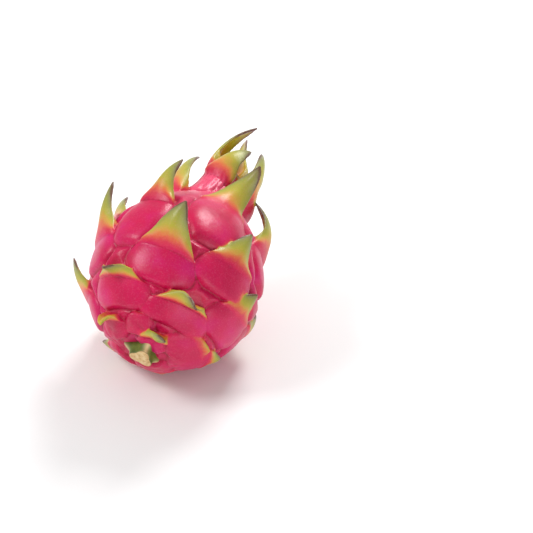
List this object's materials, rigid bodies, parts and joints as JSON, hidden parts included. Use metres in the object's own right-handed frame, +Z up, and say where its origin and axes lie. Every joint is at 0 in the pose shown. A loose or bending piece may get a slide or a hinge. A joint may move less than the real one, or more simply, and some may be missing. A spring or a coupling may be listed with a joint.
{
  "type": "dragon fruit",
  "caption": "Whole pink dragon fruit lying on its side, its skin covered in swollen scales with free green-edged flags, with a cut stem stub and a dried flower base.",
  "frame": {"origin": "centre of the small flat spot that the fruit lies on, straight under the middle of its widest ring", "axes": "+Z up; +Y level, from the cut stem toward the crown, with the fruit's own axis climbing 15 degrees above it; +X to the right, seen from the stem end"},
  "size_m": [0.109, 0.1864, 0.1081],
  "materials": {
    "fruit_skin": "waxy satin plant skin, hot pink, with yellow-green edged flags",
    "green_stem": "dark green rind with tan corky ribs and a cream cut face",
    "dried_flower": "dry, dull maroon-brown, with a papery tan rim"
  },
  "bodies": {
    "root": {"fruit": "fruit_skin", "stem_stub": "green_stem", "flower_remnant": "dried_flower"}
  },
  "joints": []
}
